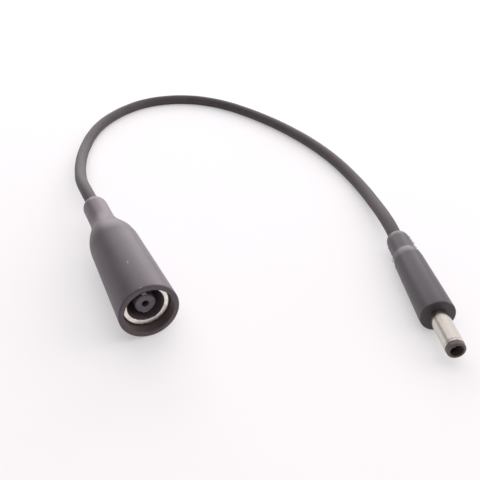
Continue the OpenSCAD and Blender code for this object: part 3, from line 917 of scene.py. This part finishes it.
# %% Colour the housings and the cord
housing_dark, housing_light = (0.074, 0.058, 0.068), (0.088, 0.071, 0.082)
# The plug's PVC is set darker than the socket's.
plug_dark, plug_light = (0.046, 0.04, 0.045), (0.057, 0.05, 0.056)
# The flash is set far paler than the housing that it comes from.
flash_dark, flash_light = (0.5, 0.48, 0.49), (0.66, 0.64, 0.65)
cord_dark, cord_light = (0.074, 0.064, 0.067), (0.09, 0.078, 0.082)
mouth_brown, mouth_brown_r = (0.11, 0.083, 0.076), mouth_r + 0.02
neck_highlight_starts, neck_highlight_full = 29, 45
crease = plug_body_l + plug_shoulder_l
socket_nicks = (((-1.15, 11, 6.74), 0.5), ((-1.05, 11.5, 6.72), 0.4), ((-1.4, 0.4, 6.95), 0.35))

# The socket's paler neck is a painted highlight, and its paler parting-line ridge is partly rubbed and
# partly a painted highlight.
socket_pvc = moulded_pvc(
    "socket_pvc", housing_dark, housing_light, roughness=0.42, rub_along=(900, 70, 900),
    highlight_zones=[lambda pvc: 0.45 * pvc.behind(neck_highlight_starts, neck_highlight_full),
           lambda pvc: 0.7 * pvc.seam(socket_roll, 0.3) * pvc.behind(edge_round, 2 * edge_round)],
    nicks=socket_nicks, mouth=(mouth_brown_r, mouth_depth, mouth_brown))
# The plug's paler neck and the pale band along the crease under its shoulder are painted highlights, and its
# paler parting-line ridge is partly rubbed and partly a painted highlight.
plug_pvc = moulded_pvc(
    "plug_pvc", plug_dark, plug_light, roughness=0.38, rub_along=(900, 90, 900), on_plug=True,
    highlight_zones=[lambda pvc: 0.25 * pvc.behind(crease - 1.4, crease - 0.2),
           lambda pvc: 0.4 * pvc.behind(crease - 0.4, crease) * pvc.behind(crease + 0.6, crease + 0.1),
           lambda pvc: 0.7 * pvc.seam(plug_roll, 0.25) * pvc.behind(edge_round, 2 * edge_round)])
flash_pvc = moulded_pvc(
    "flash_pvc", flash_dark, flash_light, roughness=0.4, rub_along=(900, 900, 900), on_plug=True)
cord_pvc = moulded_pvc(
    "cord_pvc", cord_dark, cord_light, roughness=0.55, rub_along=(400, 400, 900), specular=0.27)
for piece, material in ((socket_housing, socket_pvc), (plug_housing, plug_pvc), (plug_flash, flash_pvc),
                        (cord, cord_pvc)):
    wear(piece, material)

# %% [markdown]
# ## Metal
#
# Nickel plate is a warm bright silver. A plain mirror would look like chrome. Turning leaves very fine
# rings round it, which a wave along the axis gives, and plugging in and out leaves faint streaks along it
# where it shines less. Inside the contacts little light gets in, so just behind the mouth they are painted
# nearly black as shade, and made dull and rough there too. The groove at the barrel's front gets the same
# painted shade.

# %% Turn and plate the metal
ring_scale = 1900
ring_relief = 0.002
streaks = (800, 90, 800)
# The nearly black colour that is painted as shade inside the contacts and in the barrel's groove.
inner_painted_shade = (0.28, 0.212, 0.236)


def turned_metal(name, pale, deep, roughness, on_plug=False, dull_and_shade_where=None, painted_shade_colour=inner_painted_shade):
    """Turned metal. A function of the finish gives the mask of any part that is dull and painted in shade.
    """
    metal = Finish(name, on_plug)
    rings = metal.add("ShaderNodeTexWave", {"wave_type": "BANDS", "bands_direction": "Y"},
                      {"Vector": metal.place, "Scale": ring_scale, "Distortion": 1.5, "Detail": 2})
    haze = metal.step(metal.noise(1, 4, streaks), 0.4, 0.72)
    sockets = {
        "Base Color": metal.mix(haze, pale, deep),
        "Metallic": 1,
        "Roughness": roughness + 0.1 * haze + 0.04 * rings,
        "Normal": metal.bump(rings, ring_relief)}
    if dull_and_shade_where:
        dull = dull_and_shade_where(metal)
        # Painted shade: there the colour goes nearly black, and the metal goes dull and rough.
        sockets["Base Color"] = metal.mix(dull, sockets["Base Color"], painted_shade_colour)
        sockets["Metallic"] = 1 - 0.8 * dull
        sockets["Roughness"] = sockets["Roughness"] + 0.25 * dull
    return metal.shade(sockets)


# %% Plate the contacts
nickel_pale, nickel_deep = (0.66, 0.63, 0.57), (0.56, 0.52, 0.46)
lip_pale, lip_deep = (0.93, 0.89, 0.84), (0.81, 0.76, 0.69)
brass_pale, brass_deep = (0.72, 0.55, 0.3), (0.55, 0.4, 0.2)
bore_painted_shade = (0.2, 0.15, 0.14)
# The limits of the painted shade and dullness inside each contact and in the barrel's groove, in
# millimetres.
throat_fade, throat_wall = (2.95, 3.25), (4.4, 4.5)
leaf_fade, sense_fade = (4.2, 5.5), (6, 7)
bore_fade = (tip - 1, tip + 0.5)
groove_fade = 0.08

sleeve_nickel = turned_metal(
    "sleeve_nickel", lip_pale, lip_deep, roughness=0.2,
    dull_and_shade_where=lambda metal: metal.behind(*throat_fade) * metal.within(*throat_wall))
leaf_nickel = turned_metal(
    "leaf_nickel", lip_pale, lip_deep, roughness=0.3,
    dull_and_shade_where=lambda metal: metal.behind(*leaf_fade))
barrel_nickel = turned_metal(
    "barrel_nickel", nickel_pale, nickel_deep, roughness=0.14, on_plug=True,
    dull_and_shade_where=lambda metal: 0.6 * metal.behind(groove_front, groove_front + groove_fade)
    * metal.behind(groove_back, groove_back - groove_fade))
socket_brass = turned_metal(
    "socket_brass", brass_pale, brass_deep, roughness=0.3,
    dull_and_shade_where=lambda metal: metal.behind(*sense_fade))
tip_brass = turned_metal(
    "tip_brass", brass_pale, brass_deep, roughness=0.35, on_plug=True, painted_shade_colour=bore_painted_shade,
    dull_and_shade_where=lambda metal: metal.behind(*bore_fade))
for piece, material in ((socket_sleeve, sleeve_nickel), (spring_leaves, leaf_nickel),
                        (plug_barrel, barrel_nickel), (sense_contact, socket_brass),
                        (inner_contact, tip_brass), (centre_pin, tip_brass)):
    wear(piece, material)

# %% [markdown]
# ## Insulators and what is sealed inside
#
# The post and the nose are a hard black plastic with a fine matt skin. The pieces that are sealed inside
# the housings could be left grey, but whoever takes the model apart sees them. They keep their CAD meshes
# and get a finish each: a milky moulding, dull solder and coloured leads.

# %% Finish the rest
bloom_scale, skin_scale = 600, 6500
plastic_relief = 0.01


def hard_plastic(name, dark, light, roughness):
    """Hard moulded plastic with a faint bloom and a fine matt skin."""
    plastic = Finish(name)
    bloom = plastic.step(plastic.noise(bloom_scale, 3), 0.35, 0.7)
    grain = plastic.noise(skin_scale, 2)
    return plastic.shade({
        "Base Color": plastic.mix(bloom, dark, light),
        "Roughness": roughness + 0.12 * (grain - 0.5) + 0.08 * bloom,
        "Normal": plastic.bump(grain, plastic_relief)})


insulator_black = hard_plastic("insulator_black", (0.135, 0.113, 0.129), (0.175, 0.148, 0.167), 0.45)
nose_brown = hard_plastic("nose_brown", (0.1, 0.08, 0.071), (0.135, 0.109, 0.098), 0.4)
wear(socket_post, insulator_black)
wear(plug_nose, nose_brown)
wear(pin_insulator, nose_brown)

hidden = {
    "inner_mould": hard_plastic("milky_moulding", (0.66, 0.64, 0.58), (0.76, 0.74, 0.69), 0.5),
    "solder": turned_metal("dull_solder", (0.66, 0.66, 0.67), (0.5, 0.5, 0.52), 0.35),
    "power_lead": hard_plastic("red_lead", (0.5, 0.03, 0.025), (0.62, 0.06, 0.05), 0.4),
    "ground_lead": hard_plastic("black_lead", (0.02, 0.02, 0.02), (0.04, 0.04, 0.04), 0.4),
    "sense_lead": hard_plastic("white_lead", (0.74, 0.74, 0.71), (0.85, 0.85, 0.82), 0.4)}
for end in ("socket", "plug"):
    for kind, material in hidden.items():
        for slot in frame["nodes"][f"{end}_{kind}"].material_slots:
            slot.material = material
print(f"{len(bpy.data.materials)} materials")

# %% [markdown]
# ## The table
#
# A white sheet lies under the cable. Stronger lamps could make it white, but they would wash out the
# plastic too. So to the camera, and to the rays that shine off metal, the sheet glows by itself: by less
# than half near the cable, where plain paper has to show the shadow, and fully where it is far from the
# lamps.

# %% Set the table
table_size = 6
table_gap = 0.02
sheet_low, sheet_high = (0.9, 0.888, 0.892), (0.93, 0.92, 0.924)
sheet_white = (1, 0.99, 0.992)
sheet_clouds = 30
near_glow = 0.42
glow_starts, glow_full = 0.25, 1


def white_seen(finish):
    """1 for the rays that show a backdrop as it is: from the camera, off a gloss or through glass."""
    kinds = ("Is Camera Ray", "Is Glossy Ray", "Is Transmission Ray")
    camera_ray, glossy_ray, clear_ray = (finish.add("ShaderNodeLightPath", output=kind) for kind in kinds)
    return camera_ray + glossy_ray + clear_ray


pick()
bpy.ops.mesh.primitive_plane_add(size=table_size, location=(0, 0, (floor_z - table_gap) * MM))
table = bpy.context.object
table.name = "table"
sheet = Finish("white_sheet")
tone = sheet.mix(sheet.noise(sheet_clouds, 2), sheet_low, sheet_high)
lit = sheet.add("ShaderNodeBsdfPrincipled", None, {"Base Color": tone, "Roughness": 0.7})
glow = sheet.add("ShaderNodeEmission", None, {"Color": sheet_white, "Strength": 1.0})
away = sheet.vector("LENGTH", sheet.place, output="Value")
share = near_glow + (1 - near_glow) * sheet.step(away, glow_starts, glow_full)
both = sheet.add("ShaderNodeMixShader", None, {0: white_seen(sheet) * share, 1: lit, 2: glow})
sheet.add("ShaderNodeOutputMaterial", None, {"Surface": both})
wear(table, sheet.owner)
print(f"table {table_size} m wide, {table_gap} mm below the cable")

# %% [markdown]
# ## The light
#
# Dark plastic shows its form by what it mirrors, so the light matters more than the colour. Small lamps
# would leave hard spots, so wide ones are used. A low one behind and to the right acts as a window and
# gives the broad sheen along the tops. A second one at the front right lights the edges there, a weak one
# overhead keeps the sheet white, and the room stays dim on the left. At the horizon the room is as white
# as the sheet, so no edge shows behind the cable.

# %% Set the lamps
daylight = (1, 0.955, 0.985)


def lamp(name, place, aim, size, power):
    """A soft lamp of that size, at a place and pointed at an aim, all in millimetres."""
    pick()
    bpy.ops.object.light_add(type="AREA", location=Vector(place) * MM)
    light = bpy.context.object
    light.name = name
    light.rotation_euler = (Vector(aim) - Vector(place)).to_track_quat("-Z", "Y").to_euler()
    light.data.shape = "RECTANGLE"
    light.data.size, light.data.size_y = size[0] * MM, size[1] * MM
    light.data.energy = power
    light.data.color = daylight
    print(f"{name}: {power} W")


lamp("window", place=(280, 650, 200), aim=(35, 30, 0), size=(880, 410), power=3.1)
lamp("right_side", place=(600, -150, 320), aim=(40, 20, 0), size=(600, 500), power=1.3)
lamp("overhead", place=(40, 40, 620), aim=(40, 40, 0), size=(700, 700), power=0.9)

# %% Set the backdrop
bright_side = (0.5, 0.45, 0.74)
bright_from, bright_full = 0, 0.95
dim_room = 0.09
horizon_ends, horizon_white = 0.16, 0.1

backdrop = Finish("backdrop", world=bpy.data.worlds.new("backdrop"))
bpy.context.scene.world = backdrop.owner
towards_lamp = backdrop.vector("DOT_PRODUCT", backdrop.place, bright_side, output="Value")
height = backdrop.add("ShaderNodeSeparateXYZ", None, {"Vector": backdrop.place}, output="Z")
room = dim_room + backdrop.step(towards_lamp, bright_from, bright_full)
strength = room + backdrop.step(height, horizon_ends, horizon_white) * (1 - room)
sky = backdrop.add("ShaderNodeBackground", None, {"Color": daylight, "Strength": strength})
backdrop.add("ShaderNodeOutputWorld", None, {"Surface": sky})
bpy.context.scene.view_settings.view_transform = "Standard"
print(f"backdrop: {len(backdrop.tree.nodes)} nodes")
